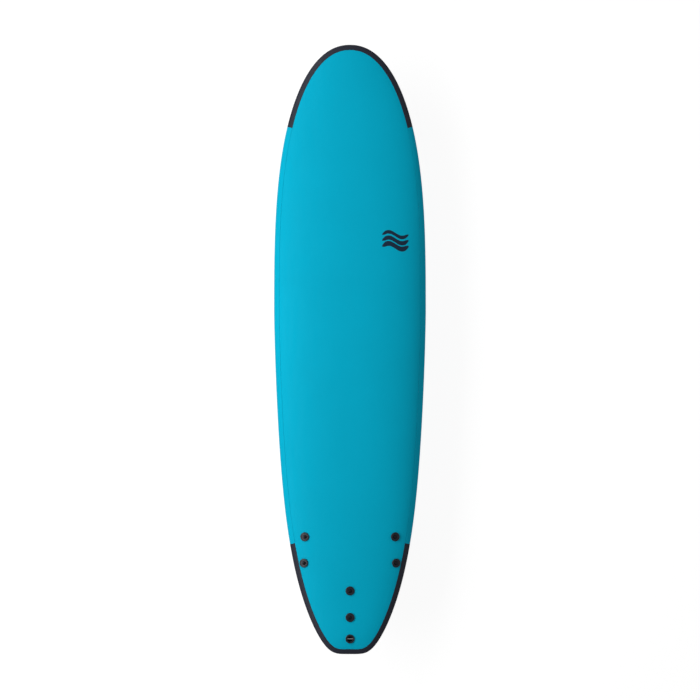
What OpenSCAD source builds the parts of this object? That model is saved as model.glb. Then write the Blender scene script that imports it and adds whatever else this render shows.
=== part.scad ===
// Soft-top longboard surfboard: foam core in three lengthwise sections, two
// plywood stringers, a soft foam deck sheet, rubber bumpers round nose and
// tail, a slick plastic bottom, three bolted fins, a leash cup and a hand grip.
//
// Frame: millimetres, nose along +X, port side along +Y, deck up (+Z). The
// origin is below the middle of the board, level with the side fins' tips.

/* [Outline] */
// Length over the nose and tail
board_l = 2438; // [2200:2:2700]
// Widest width
board_w = 614; // [560:2:660]
// Distance of the widest point ahead of the middle
wide_x = 159; // [80:1:220]

/* [Profile] */
// Thickness on the centre line at the middle
board_t = 123; // [95:1:135]
// Thickness of the nose tip
nose_t = 19; // [14:1:26]
// Thickness of the tail end
tail_t = 32; // [24:1:40]
// Lift of the bottom at the nose tip
nose_rocker = 118; // [80:1:150]
// Lift of the bottom at the tail end
tail_rocker = 91; // [60:1:110]

/* [Layers] */
// Thickness of the foam deck sheet and the rail strips
skin_t = 6; // [4:0.5:8]
// Thickness of the slick bottom sheet
slick_t = 2; // [1.5:0.5:3]
// Glue line between neighbouring layers
glue = 0.3; // [0.2:0.05:0.5]
// Width of the rail band, seen from above
band_w = 22; // [14:1:26]
// Thickness of each stringer
stringer_t = 4; // [3:0.5:6]
// Distance of each stringer from the centre line
stringer_y = 70; // [50:1:90]

/* [Fins] */
// Depth of a fin blade below its foot
fin_depth = 120; // [100:1:130]
// Length of a fin foot
foot_l = 156; // [150:1:170]
// Width of a fin foot
foot_w = 42; // [36:1:48]
// Height of a fin foot at its crown
foot_t = 6.5; // [5:0.5:9]
// Distance between the two bolts of a fin
bolt_pitch = 105.6; // [100:0.2:110]
// Front bolt of the side fins, behind the middle
side_bolt_x = 749; // [700:1:780]
// Front bolt of the side fins, from the centre line
side_bolt_y = 181; // [160:1:200]
// Turn of each side fin's front towards the centre line
toe_in = 2; // [0:0.5:4]
// Front bolt of the centre fin, behind the middle
centre_bolt_x = 963; // [930:1:980]

/* [Fittings] */
// Diameter of each deck disc and of the leash cup
disc_d = 36; // [30:1:40]
// Middle of the leash cup, behind the middle of the board
leash_x = 1154; // [1130:1:1160]
// Length of the hand grip
grip_l = 120; // [110:1:130]
// Width of the hand grip
grip_w = 50; // [46:1:56]
// Depth of the hand grip's pocket
grip_depth = 28; // [20:1:36]
// Middle of the hand grip, ahead of the middle of the board
grip_x = 12; // [-40:1:60]
// Middle of the hand grip, to starboard of the centre line
grip_y = 145; // [130:1:160]

/* [Hidden] */
FIN_NAMES = ["port", "starboard", "centre"];
$fn = 64;

teal = [0.00, 0.62, 0.75];
charcoal = [0.17, 0.18, 0.22];
slick_white = [0.85, 0.85, 0.89];
fin_black = [0.06, 0.06, 0.08];

half_l = board_l / 2;
half_w = board_w / 2;

// ---- Outline ---------------------------------------------------------------

nose_len = half_l - wide_x;
tail_len = half_l + wide_x;
nose_round = 3;
nose_power = 0.47;
tail_round = 1.42;
tail_power = 0.228;
squash_w = 0.65;
squash_power = 5.9;

// Half the board's width at x. The tail is drawn in towards a squared-off end.
function squash(t) = 1 - (1 - squash_w) * pow(t, squash_power);
function half_width(x) =
    let (t = min(1, x > wide_x ? (x - wide_x) / nose_len : (wide_x - x) / tail_len))
    x > wide_x ? half_w * pow(1 - pow(t, nose_round), nose_power)
    : half_w * pow(1 - pow(t, tail_round), tail_power) * squash(t);

// The outline is walked by an angle, 0 at the nose and 180 at the tail. The
// stations are spread so that one falls on the end of each bumper.
half_n = 60;
ring_n = 2 * half_n;
nose_end_k = 18;
tail_end_k = 44;
nose_end_angle = 54.3;
tail_end_angle = 139.8;

function station_angle(k) =
    k <= nose_end_k ? nose_end_angle * k / nose_end_k
    : k <= tail_end_k
    ? nose_end_angle + (tail_end_angle - nose_end_angle) * (k - nose_end_k) / (tail_end_k - nose_end_k)
    : tail_end_angle + (180 - tail_end_angle) * (k - tail_end_k) / (half_n - tail_end_k);
function mirror_k(k) = k <= half_n ? k : ring_n - k;
function outline_x(k) =
    let (a = station_angle(mirror_k(k)), c = cos(a))
    c > 0 ? wide_x + nose_len * pow(c, 2 / nose_round)
    : wide_x - tail_len * pow(-c, 2 / tail_round);
function outline_y(k) =
    let (a = station_angle(mirror_k(k)), s = max(0, sin(a)), c = cos(a))
    (k <= half_n ? 1 : -1) * half_w
    * (c > 0 ? pow(s, 2 * nose_power) : pow(s, 2 * tail_power) * squash(pow(-c, 2 / tail_round)));
outline = [for (k = [0:ring_n - 1]) [outline_x(k), outline_y(k)]];

// Rays run from the spine, a shorter copy of the centre line, to the outline.
spine_share = 0.9;
ray_len = [for (p = outline) norm([(1 - spine_share) * p[0], p[1]])];
function on_ray(k, w) = [outline[k][0] * (spine_share + (1 - spine_share) * w), outline[k][1] * w];

// ---- Profile ---------------------------------------------------------------

nose_rocker_power = 3.5;
tail_rocker_power = 2.9;
crown_round = 1.8;
crown_power = 0.7;
apex_share = 0.38;
apex_rise = 0.09;
deck_round = 3;
deck_power = 0.55;
edge_least_w = 6;
edge_more_w = 12;
nose_edge_round = 3.6;
tail_edge_power = 1.5;
slope_step = 5;
function lift(x) =
    x > 0 ? nose_rocker * pow(x / half_l, nose_rocker_power)
    : tail_rocker * pow(-x / half_l, tail_rocker_power);
// Slope of the bottom at x, in degrees, positive where it climbs aft
function aft_slope(x) = atan((lift(x - slope_step) - lift(x + slope_step)) / (2 * slope_step));
// Thickness on the centre line, and height of the rail's widest point
function crown_t(x) =
    let (s = min(1, abs(x) / half_l), tip = x > 0 ? nose_t : tail_t)
    tip + (board_t - tip) * pow(1 - pow(s, crown_round), crown_power);
function apex_t(x) = crown_t(x) * (apex_share + apex_rise * pow(abs(x) / half_l, 3));
function deck_t(x, w) =
    let (fall = crown_t(x) - apex_t(x))
    crown_t(x) - fall * (1 - pow(max(0, 1 - pow(w, deck_round)), deck_power));
// Width of the rounded lower edge between the outline and the flat bottom
function edge_w(x) =
    let (s = abs(x) / half_l)
    edge_least_w + edge_more_w * (x > 0 ? 1 - pow(s, nose_edge_round) : pow(1 - s * s, tail_edge_power));

// ---- Fin blade -------------------------------------------------------------

blade_ahead = 4;
foot_ahead = 38;
blade_reach = 130;
lead_round = 1.38;
lead_power = 0.625;
root_back = 110;
root_flare = 4.8;
hook_power = 0.6;
hook_share = 0.8;
hook_turn = 30;
tip_r = 15.8;
tip_u = 148.5;
tip_v = fin_depth - tip_r - 0.3;
hook_v = 30;
hook_end_v = tip_v - tip_r * cos(hook_turn);
hook_end_u = tip_u + tip_r * sin(hook_turn);
// Share of the hook's reach that is left at share t of its curve
function hook_left(t) = pow(1 - t * t, hook_power);
// Leading and trailing edge, aft of the blade's front, at depth v
function lead_u(v) =
    blade_reach * (1 - pow(max(0, 1 - pow(v / fin_depth, lead_round)), lead_power));
function trail_u(v) =
    v < hook_v ? root_back + root_flare * pow(1 - v / hook_v, 2)
    : v < hook_end_v
    ? root_back + (hook_end_u - root_back)
        * (1 - hook_left(hook_share * (v - hook_v) / (hook_end_v - hook_v))) / (1 - hook_left(hook_share))
    : tip_u + sqrt(max(0, tip_r * tip_r - pow(v - tip_v, 2)));
blade_vs = concat(
    [for (i = [0:9]) hook_end_v * (0.02 + 0.98 * pow(i / 9, 0.8))],
    [for (i = [1:9]) hook_end_v + (fin_depth - hook_end_v) * sin(10 * i) * 0.998]
);

// Foot of the fin: level of its mating face's middle and its tilt
fin_gap = 0.4;
centre_foot_x = -centre_bolt_x - bolt_pitch / 2;
side_foot_x = -side_bolt_x - bolt_pitch / 2;

// Depth of a tilted blade's lowest point below the bottom's lowest level
function blade_drop(foot_x) =
    let (tilt = aft_slope(foot_x))
    max([for (v = blade_vs) v * cos(tilt) - (lead_u(v) - blade_ahead - bolt_pitch / 2) * sin(tilt)])
    - lift(foot_x) + fin_gap;
belly_z = blade_drop(side_foot_x);

function bottom_z(x) = belly_z + lift(x);
function deck_z_on(k, w) = let (p = on_ray(k, w)) bottom_z(p[0]) + deck_t(p[0], w);
// Height and ray share of the deck above any point
function ray_end_x(x, y, n) =
    n == 0 ? x : let (e = ray_end_x(x, y, n - 1), w = min(1, abs(y) / max(1, half_width(e))))
    x / (spine_share + (1 - spine_share) * w);
function deck_z(x, y) =
    let (e = ray_end_x(x, y, 8), w = min(1, abs(y) / max(1, half_width(e))))
    bottom_z(x) + deck_t(x, w);

// ---- Stacked rings ---------------------------------------------------------

// A closed solid from rings that run from one spine to another
module ring_stack(top_spine, rings, bottom_spine) {
    n = ring_n;
    top0 = len(rings) * n;
    bottom0 = top0 + half_n + 1;
    points = concat([for (r = rings) each r], top_spine, bottom_spine);
    quads = concat(
        [for (k = [0:n - 1]) [top0 + mirror_k(k), top0 + mirror_k((k + 1) % n), (k + 1) % n, k]],
        [for (i = [0:len(rings) - 2], k = [0:n - 1])
            [i * n + k, i * n + (k + 1) % n, (i + 1) * n + (k + 1) % n, (i + 1) * n + k]],
        [for (k = [0:n - 1])
            [top0 - n + k, top0 - n + (k + 1) % n, bottom0 + mirror_k((k + 1) % n), bottom0 + mirror_k(k)]]
    );
    polyhedron(points = points, faces = [for (q = quads) each [[q[0], q[1], q[2]], [q[0], q[2], q[3]]]]);
}

deck_ring_n = 5;
bottom_ring_n = 3;
deck_shares = [for (j = [1:deck_ring_n]) sin(90 * j / deck_ring_n)];
function deck_spine(drop) = [for (k = [0:half_n]) let (p = on_ray(k, 0)) [p[0], 0, deck_z_on(k, 0) - drop]];
function deck_ring(share, inboard, drop) =
    [for (k = [0:ring_n - 1]) let (w = share * (1 - inboard / ray_len[k]), p = on_ray(k, w))
        [p[0], p[1], deck_z_on(k, w) - drop]];
function bottom_spine(rise) = [for (k = [0:half_n]) let (p = on_ray(k, 0)) [p[0], 0, bottom_z(p[0]) + rise]];
function bottom_ring(share, inboard, rise) =
    [for (k = [0:ring_n - 1])
        let (w = share * (1 - (edge_w(outline[k][0]) + inboard) / ray_len[k]), p = on_ray(k, w))
        [p[0], p[1], bottom_z(p[0]) + rise]];

// ---- Rail band -------------------------------------------------------------

deck_steps = 4;
edge_steps = 4;
band_n = deck_steps + edge_steps;
band_round = 1.6;

// Point i of the band's section at station k, moved inwards by a depth. The
// section runs from the deck seam over the rail to the bottom's edge.
function band_point(k, i, depth) =
    let (
        x_end = outline[k][0],
        upper = i <= deck_steps,
        turn = upper ? -90 * (1 - i / deck_steps) : 90 * (i - deck_steps) / edge_steps,
        out_t = upper ? band_w * pow(1 - i / deck_steps, band_round) : edge_w(x_end) * (1 - cos(turn)),
        w0 = 1 - out_t / ray_len[k],
        x0 = on_ray(k, w0)[0],
        out_z = upper ? bottom_z(x0) + deck_t(x0, w0) : bottom_z(x0) + apex_t(x0) * (1 - sin(turn)),
        w = 1 - (out_t + depth * cos(turn)) / ray_len[k],
        p = on_ray(k, w)
    )
    [p[0], p[1], out_z + depth * sin(turn)];
function band_ring(i, depth, drop) = [for (k = [0:ring_n - 1]) band_point(k, i, depth) - [0, 0, drop]];

// The band between two stations, as one strip wrapped round the rail
module band(first, last) {
    m = band_n + 1;
    count = last - first + 1;
    points = [for (s = [first:last]) let (k = (s + ring_n) % ring_n)
        each concat([for (i = [0:band_n]) band_point(k, i, 0)],
            [for (i = [band_n:-1:0]) band_point(k, i, skin_t)])];
    // The inner side's quads start one corner on, so that they split as the foam's do
    sides = [for (s = [0:count - 2], i = [0:2 * m - 1])
        let (j = (i + 1) % (2 * m), a = s * 2 * m, b = a + 2 * m)
        i < m ? [a + i, b + i, b + j, a + j] : [b + i, b + j, a + j, a + i]];
    ends = [for (i = [0:band_n - 1]) each [
        [i, i + 1, 2 * m - 2 - i, 2 * m - 1 - i],
        [for (v = [2 * m - 1 - i, 2 * m - 2 - i, i + 1, i]) v + (count - 1) * 2 * m]
    ]];
    polyhedron(points = points,
        faces = [for (q = concat(sides, ends)) each [[q[0], q[1], q[2]], [q[0], q[2], q[3]]]]);
}

// ---- Holes -----------------------------------------------------------------

tube_r = 8;
tube_bore_r = 6;
cup_r = 11.5;
cup_wall = 2;
cup_depth = 24;
hole_play = 0.4;
// Twelve flat sides round a circle of radius r
function flat_r(r) = r / cos(15);

side_rear_x = -side_bolt_x - bolt_pitch * cos(toe_in);
side_rear_y = side_bolt_y + bolt_pitch * sin(toe_in);
bolts = [
    [-side_bolt_x, side_bolt_y], [side_rear_x, side_rear_y],
    [-side_bolt_x, -side_bolt_y], [side_rear_x, -side_rear_y],
    [-centre_bolt_x, 0], [-centre_bolt_x - bolt_pitch, 0]
];
module at_bolt(i) { translate([bolts[i][0], bolts[i][1], 0]) children(); }

module bolt_holes() {
    for (i = [0:5]) at_bolt(i)
        cylinder(h = 400, r = flat_r(tube_r + hole_play), $fn = 12);
}
module leash_hole() {
    translate([-leash_x, 0, deck_z(-leash_x, 0) - cup_depth - cup_wall - hole_play])
        cylinder(h = 200, r = flat_r(cup_r + cup_wall + hole_play), $fn = 12);
}

// An upright block with rounded corners, its length along x
module round_block(l, w, h, r) {
    translate([-l / 2, -w / 2 + r, 0]) cube([l, w - 2 * r, h]);
    translate([-l / 2 + r, -w / 2, 0]) cube([l - 2 * r, w, h]);
    for (sx = [-1, 1], sy = [-1, 1])
        translate([sx * (l / 2 - r), sy * (w / 2 - r), 0]) cylinder(h = h, r = r, $fn = 32);
}
grip_flange_t = 1.6;
grip_rim = 7;
grip_wall = 2;
pocket_l = grip_l - 2 * grip_rim;
pocket_w = grip_w - 2 * grip_rim;
module grip_hole() {
    play = 2 * grip_wall + 2 * hole_play;
    translate([grip_x - (pocket_l + play) / 2, -grip_y - (pocket_w + play) / 2, belly_z - 20])
        cube([pocket_l + play, pocket_w + play, 20 + grip_depth + grip_wall + hole_play]);
}

// ---- Sub-parts -------------------------------------------------------------

// The whole foam blank inside the skins. Along the rail it keeps more room, for
// the band's inner face is pinched where the nose is thin.
module blank() {
    drop = skin_t + glue;
    rise = slick_t + glue;
    ring_stack(
        deck_spine(drop),
        concat(
            [for (s = deck_shares) deck_ring(s, band_w, drop)],
            [for (i = [1:band_n - 1]) band_ring(i, drop + glue, i <= deck_steps ? 2 * glue : 0)],
            [bottom_ring(1, glue, drop)],
            [for (j = [bottom_ring_n:-1:1]) bottom_ring(j / bottom_ring_n, glue, rise)]
        ),
        bottom_spine(rise)
    );
}
module blank_between(y_low, y_high) {
    intersection() {
        blank();
        translate([-half_l - 10, y_low, 0]) cube([board_l + 20, y_high - y_low, 500]);
    }
}
stringer_gap = stringer_t / 2 + glue;

module foam_core_port() {
    color([0.95, 0.95, 0.93]) difference() {
        blank_between(stringer_y + stringer_gap, half_w + 10);
        bolt_holes();
    }
}
module foam_core_centre() {
    color([0.95, 0.95, 0.93]) difference() {
        blank_between(-stringer_y + stringer_gap, stringer_y - stringer_gap);
        bolt_holes();
        leash_hole();
    }
}
module foam_core_starboard() {
    color([0.95, 0.95, 0.93]) difference() {
        blank_between(-half_w - 10, -stringer_y - stringer_gap);
        bolt_holes();
        grip_hole();
    }
}
module stringer(side) {
    color([0.72, 0.55, 0.36])
        blank_between(side * stringer_y - stringer_t / 2, side * stringer_y + stringer_t / 2);
}

module deck_skin() {
    color(teal) difference() {
        ring_stack(
            deck_spine(0),
            concat(
                [for (s = deck_shares) deck_ring(s, band_w + glue, 0)],
                [for (j = [deck_ring_n - 1:-1:0]) deck_ring(deck_shares[j], band_w + glue, skin_t)]
            ),
            deck_spine(skin_t)
        );
        bolt_holes();
        leash_hole();
    }
}
module bottom_slick() {
    color(slick_white) difference() {
        ring_stack(
            bottom_spine(slick_t),
            concat(
                [for (j = [1:bottom_ring_n]) bottom_ring(j / bottom_ring_n, glue, slick_t)],
                [for (j = [bottom_ring_n:-1:1]) bottom_ring(j / bottom_ring_n, glue, 0)]
            ),
            bottom_spine(0)
        );
        bolt_holes();
        grip_hole();
    }
}
module nose_bumper() { color(charcoal) band(-nose_end_k, nose_end_k); }
module tail_bumper() { color(charcoal) band(tail_end_k, ring_n - tail_end_k); }
module rail_strip_port() { color(teal) band(nose_end_k, tail_end_k); }
module rail_strip_starboard() { color(teal) band(ring_n - tail_end_k, ring_n - nose_end_k); }

// Recessed hand grip: a flange under the bottom and a pocket for the fingers
module grip_cup() {
    flange_z = belly_z - glue - grip_flange_t;
    color(fin_black) translate([grip_x, -grip_y, 0]) difference() {
        union() {
            translate([0, 0, flange_z]) round_block(grip_l, grip_w, grip_flange_t, 4);
            translate([0, 0, flange_z]) round_block(pocket_l + 2 * grip_wall, pocket_w + 2 * grip_wall,
                belly_z + grip_depth + grip_wall - flange_z, 5);
        }
        translate([0, 0, belly_z - 20]) round_block(pocket_l, pocket_w, 20 + grip_depth, 3);
    }
}

// Leash cup set into the deck, open upwards, with a bar across it
flange_t = 2.4;
leash_z = deck_z(-leash_x, 0);
bar_r = 2.5;
bar_z = leash_z - 4;
module leash_cup() {
    color(fin_black) translate([-leash_x, 0, leash_z]) difference() {
        rotate_extrude($fn = 72) polygon([
            [0, -cup_depth - cup_wall], [cup_r + cup_wall, -cup_depth - cup_wall],
            [cup_r + cup_wall, 0.8], [disc_d / 2, 0.8], [disc_d / 2, flange_t - 1.2],
            [disc_d / 2 - 1.2, flange_t], [cup_r + 1, flange_t], [cup_r, flange_t - 1], [cup_r, -cup_depth],
            [0, -cup_depth]
        ]);
        translate([0, cup_r + cup_wall + 1, bar_z - leash_z]) rotate([90, 0, 0])
            cylinder(h = 2 * (cup_r + cup_wall) + 2, r = bar_r + 0.05);
    }
}
module leash_bar() {
    color("silver") translate([-leash_x, cup_r + cup_wall - 0.2, bar_z]) rotate([90, 0, 0])
        cylinder(h = 2 * (cup_r + cup_wall - 0.2), r = bar_r);
}

// ---- Fins ------------------------------------------------------------------

post_r = 5.75;
insert_r = 4.5;
insert_l = 18;
shank_r = 3;
shank_play = 0.08;
post_h = 40;
post_root = 3;
fin_screw_reach = 14;

function fin_front(f) = f == 2 ? bolts[4] : bolts[2 * f];
function fin_turn(f) = f == 0 ? -toe_in : f == 1 ? toe_in : 0;
function fin_mid_x(f) = (f == 2 ? centre_foot_x : side_foot_x);
function fin_tilt(f) = aft_slope(fin_mid_x(f));
function foot_z(f) = bottom_z(fin_mid_x(f)) - fin_gap;

// A closed solid through level rings, from the highest ring to the lowest
module stacked_loft(rings) {
    m = len(rings[0]);
    last = (len(rings) - 1) * m;
    sides = [for (s = [0:len(rings) - 2], i = [0:m - 1]) let (j = (i + 1) % m)
        [s * m + i, s * m + j, (s + 1) * m + j, (s + 1) * m + i]];
    polyhedron(points = [for (r = rings) each r], faces = concat(
        [for (q = sides) each [[q[0], q[1], q[2]], [q[0], q[2], q[3]]]],
        [for (i = [1:m - 2]) [0, i + 1, i]],
        [for (i = [1:m - 2]) [last, last + i, last + i + 1]]
    ));
}

// Half thickness of the blade at depth v, with its foil along the chord
blade_root_t = 9;
blade_tip_t = 5;
foil_n = 7;
foil_bulge = 2.3;
foil_taper = 0.25;
foil_edge = 0.10;
function foil(s) =
    foil_bulge * sqrt(s) * (1 - s) * (1 - foil_taper * s) + foil_edge * sqrt(max(0, 1 - pow(2 * s - 1, 2)));
function blade_half(v) = (blade_root_t + (blade_tip_t - blade_root_t) * v / fin_depth) / 2;
function chord_share(i) = (1 - cos(180 * i / foil_n)) / 2;
function foil_point(a, b, v, thin, i, side) =
    let (s = chord_share(i)) [-(a + (b - a) * s), side * blade_half(v) * thin * foil(s), -v];
function blade_ring(v) =
    let (a = lead_u(v), b = trail_u(v), thin = min(1, sqrt((b - a) / 30)))
    concat([for (i = [0:foil_n]) foil_point(a, b, v, thin, i, 1)],
        [for (i = [foil_n - 1:-1:1]) foil_point(a, b, v, thin, i, -1)]);
module blade() { stacked_loft([for (v = blade_vs) blade_ring(v)]); }

// Low oval foot, crowned below and flat where it meets the board
foot_wide_u = 88;
foot_front_round = 2.2;
foot_rear_round = 2.6;
foot_n = 40;
function foot_half(u) =
    let (x = u < foot_wide_u ? (foot_wide_u - u) / foot_wide_u : (u - foot_wide_u) / (foot_l - foot_wide_u))
    foot_w / 2 * pow(max(0, 1 - pow(x, u < foot_wide_u ? foot_front_round : foot_rear_round)), 0.5);
foot_outline = [for (i = [0:foot_n - 1])
    let (a = 360 * i / foot_n, side = sin(a) >= 0 ? 1 : -1, u = foot_l * (1 - cos(a)) / 2)
    [u, side * foot_half(u)]];
foot_levels = [[1, 0], [1, 0.35], [0.9, 0.62], [0.72, 0.84], [0.45, 0.96], [0.15, 1]];
module foot() {
    mid_u = foot_l * 0.52;
    translate([foot_ahead, 0, 0]) stacked_loft([for (lv = foot_levels) [for (p = foot_outline)
        [-(mid_u + (p[0] - mid_u) * lv[0]), p[1] * lv[0], -foot_t * lv[1]]]]);
}

// One fin: blade and foot tilted to the bottom, two upright hollow posts
module fin(f) {
    front = fin_front(f);
    tilt = fin_tilt(f);
    mid_z = foot_z(f);
    color(fin_black) difference() {
        union() {
            translate([front[0], front[1], 0]) rotate([0, 0, fin_turn(f)])
                translate([-bolt_pitch / 2, 0, mid_z]) rotate([0, tilt, 0])
                    translate([bolt_pitch / 2, 0, 0]) {
                        foot();
                        translate([blade_ahead, 0, 0]) blade();
                    }
            for (e = [0, 1]) at_bolt(2 * f + e) {
                root_z = mid_z + (2 * e - 1) * bolt_pitch / 2 * tan(tilt) - post_root;
                translate([0, 0, root_z]) cylinder(h = mid_z + post_h - root_z, r = post_r);
            }
        }
        for (e = [0, 1]) at_bolt(2 * f + e) {
            translate([0, 0, mid_z + post_h - insert_l]) cylinder(h = insert_l + 1, r = insert_r);
            translate([0, 0, mid_z + post_h - insert_l - 10]) cylinder(h = 12, r = shank_r + 0.5);
        }
    }
}

// Threaded insert in the top of a post
module fin_insert(i) {
    f = floor(i / 2);
    color("goldenrod") at_bolt(i) translate([0, 0, foot_z(f) + post_h - insert_l]) difference() {
        cylinder(h = insert_l, r = insert_r);
        translate([0, 0, -1]) cylinder(h = insert_l + 2, r = shank_r + shank_play);
    }
}

// Deck disc with its tube, following the slope of the deck around it
disc_t = 5.2;
disc_lift = 0.7;
head_r = 6.5;
head_t = 3.2;
recess_r = 9.5;
web_t = 3;
function bolt_deck_z(i) = deck_z(bolts[i][0], bolts[i][1]);
function deck_at(i, dx, dy) = deck_z(bolts[i][0] + dx, bolts[i][1] + dy);
tilt_reach = 15;
function deck_tilt_x(i) = atan((deck_at(i, tilt_reach, 0) - deck_at(i, -tilt_reach, 0)) / (2 * tilt_reach));
function deck_tilt_y(i) = atan((deck_at(i, 0, tilt_reach) - deck_at(i, 0, -tilt_reach)) / (2 * tilt_reach));
seat_rise = 0.6;
function seat_z(i) = bolt_deck_z(i) + seat_rise;

module fin_plug(i) {
    color(fin_black) difference() {
        union() {
            at_bolt(i) translate([0, 0, bolt_deck_z(i)]) rotate([deck_tilt_y(i), -deck_tilt_x(i), 0])
                rotate_extrude() polygon([
                    [0, disc_lift], [disc_d / 2, disc_lift], [disc_d / 2, disc_t - 2],
                    [disc_d / 2 - 0.6, disc_t - 0.9], [disc_d / 2 - 2, disc_t], [0, disc_t]
                ]);
            at_bolt(i) translate([0, 0, bottom_z(bolts[i][0]) + 1.2])
                cylinder(h = bolt_deck_z(i) - bottom_z(bolts[i][0]), r = tube_r);
        }
        at_bolt(i) {
            translate([0, 0, seat_z(i)]) cylinder(h = 30, r = recess_r);
            translate([0, 0, seat_z(i) - web_t - 1]) cylinder(h = web_t + 2, r = shank_r + 0.4);
            translate([0, 0, bottom_z(bolts[i][0]) - 10])
                cylinder(h = seat_z(i) - web_t - bottom_z(bolts[i][0]) + 10, r = tube_bore_r);
        }
    }
}

// Pan-head screw with a cross recess, reaching into the insert
module fin_screw(i) {
    f = floor(i / 2);
    tip_z = foot_z(f) + post_h - fin_screw_reach;
    color("silver") at_bolt(i) difference() {
        union() {
            translate([0, 0, seat_z(i)]) rotate_extrude() polygon([
                [0, 0.05], [head_r, 0.05], [head_r, head_t - 1.4], [head_r - 1.2, head_t - 0.3],
                [head_r - 3, head_t], [0, head_t]
            ]);
            translate([0, 0, tip_z]) cylinder(h = seat_z(i) - tip_z + 1, r = shank_r);
        }
        for (a = [0, 90]) translate([0, 0, seat_z(i) + head_t]) rotate([0, 0, a])
            cube([6.4, 1.3, 3.6], center = true);
    }
}

// ---- Nodes -----------------------------------------------------------------

foam_core_port();
foam_core_centre();
foam_core_starboard();
stringer(1);  // stringer_port
stringer(-1);  // stringer_starboard
deck_skin();
rail_strip_port();
rail_strip_starboard();
nose_bumper();
tail_bumper();
bottom_slick();
grip_cup();
leash_cup();
leash_bar();
for (f = [0:2]) {
    fin(f);
    for (e = [0, 1]) {
        place = str(FIN_NAMES[f], e == 0 ? "_front" : "_rear");
        fin_plug(2 * f + e);
        fin_screw(2 * f + e);
        fin_insert(2 * f + e);
    }
}
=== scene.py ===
"""Looks of the soft-top longboard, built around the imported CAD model. Metres; nose +X, port +Y, deck up."""
import math

import bmesh
import bpy
import numpy as np
from mathutils import Matrix, Vector


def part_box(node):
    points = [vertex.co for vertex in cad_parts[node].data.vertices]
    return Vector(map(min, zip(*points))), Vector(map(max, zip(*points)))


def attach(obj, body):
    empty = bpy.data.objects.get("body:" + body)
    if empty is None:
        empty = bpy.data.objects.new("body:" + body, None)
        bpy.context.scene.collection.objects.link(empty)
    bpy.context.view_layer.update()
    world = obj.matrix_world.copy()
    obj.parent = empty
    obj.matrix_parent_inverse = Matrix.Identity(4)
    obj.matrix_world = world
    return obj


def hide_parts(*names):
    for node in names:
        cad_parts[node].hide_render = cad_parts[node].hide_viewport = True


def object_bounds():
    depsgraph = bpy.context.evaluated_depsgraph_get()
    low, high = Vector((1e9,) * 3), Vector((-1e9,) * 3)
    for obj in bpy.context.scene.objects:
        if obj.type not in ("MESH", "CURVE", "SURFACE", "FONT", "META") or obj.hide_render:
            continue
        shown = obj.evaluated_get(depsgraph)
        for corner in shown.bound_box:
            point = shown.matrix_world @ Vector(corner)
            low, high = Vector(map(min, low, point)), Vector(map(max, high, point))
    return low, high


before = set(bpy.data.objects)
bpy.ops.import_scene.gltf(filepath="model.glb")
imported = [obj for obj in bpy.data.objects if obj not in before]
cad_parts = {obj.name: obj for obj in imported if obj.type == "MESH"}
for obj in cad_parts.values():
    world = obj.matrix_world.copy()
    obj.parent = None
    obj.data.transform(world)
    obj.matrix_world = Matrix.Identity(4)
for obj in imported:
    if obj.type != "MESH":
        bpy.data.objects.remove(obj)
cad_low, cad_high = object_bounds()

MM = 0.001
FINS = ("port", "starboard", "centre")
ENDS = ("front", "rear")

# ---- Board: the same driving sizes and curves as the CAD model ---------------------------------

HALF_L = cad_high.x
HALF_W = 307 * MM
WIDE_X = 159 * MM
NOSE_LEN = HALF_L - WIDE_X
TAIL_LEN = HALF_L + WIDE_X
NOSE_ROUND, NOSE_POWER = 3, 0.47
TAIL_ROUND, TAIL_POWER = 1.42, 0.228
SQUASH_W, SQUASH_POWER = 0.65, 5.9
SPINE_SHARE = 0.9
BELLY_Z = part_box("bottom_slick")[0].z
BOARD_T, NOSE_T, TAIL_T = 123 * MM, 19 * MM, 32 * MM
NOSE_ROCKER, TAIL_ROCKER = 118 * MM, 91 * MM
NOSE_ROCKER_POWER, TAIL_ROCKER_POWER = 3.5, 2.9
CROWN_ROUND, CROWN_POWER = 1.8, 0.7
APEX_SHARE, APEX_RISE = 0.38, 0.09
DECK_ROUND, DECK_POWER = 3, 0.55
EDGE_LEAST, EDGE_MORE = 6 * MM, 12 * MM
NOSE_EDGE_ROUND, TAIL_EDGE_POWER = 3.6, 1.5
SKIN_T, SLICK_T, GLUE = 6 * MM, 2 * MM, 0.3 * MM
BAND_W, BAND_ROUND = 22 * MM, 1.6
NOSE_END, TAIL_END = math.radians(54.3), math.radians(139.8)
FULL_TURN = 2 * math.pi
SEAM = 0.6 * MM


def squash(t):
    """How far the tail is drawn in towards its squared-off end."""
    return 1 - (1 - SQUASH_W) * t ** SQUASH_POWER


def outline(angles):
    """Points of the outline, by an angle that is 0 at the nose and half a turn at the tail."""
    cosine, sine = np.cos(angles), np.sin(angles)
    ahead = cosine > 0
    t = np.abs(cosine) ** np.where(ahead, 2 / NOSE_ROUND, 2 / TAIL_ROUND)
    x = WIDE_X + t * np.where(ahead, NOSE_LEN, -TAIL_LEN)
    side = np.abs(sine)
    y = np.where(ahead, side ** (2 * NOSE_POWER), side ** (2 * TAIL_POWER) * squash(t))
    return x, np.sign(sine) * HALF_W * y


def half_width(x):
    if x > WIDE_X:
        return HALF_W * (1 - min(1, (x - WIDE_X) / NOSE_LEN) ** NOSE_ROUND) ** NOSE_POWER
    t = min(1, (WIDE_X - x) / TAIL_LEN)
    return HALF_W * (1 - t ** TAIL_ROUND) ** TAIL_POWER * squash(t)


def lift(x):
    """Rocker: how far the bottom has climbed at x."""
    s = np.abs(x) / HALF_L
    return np.where(x > 0, NOSE_ROCKER * s ** NOSE_ROCKER_POWER, TAIL_ROCKER * s ** TAIL_ROCKER_POWER)


def bottom_z(x):
    return BELLY_Z + lift(x)


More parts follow.
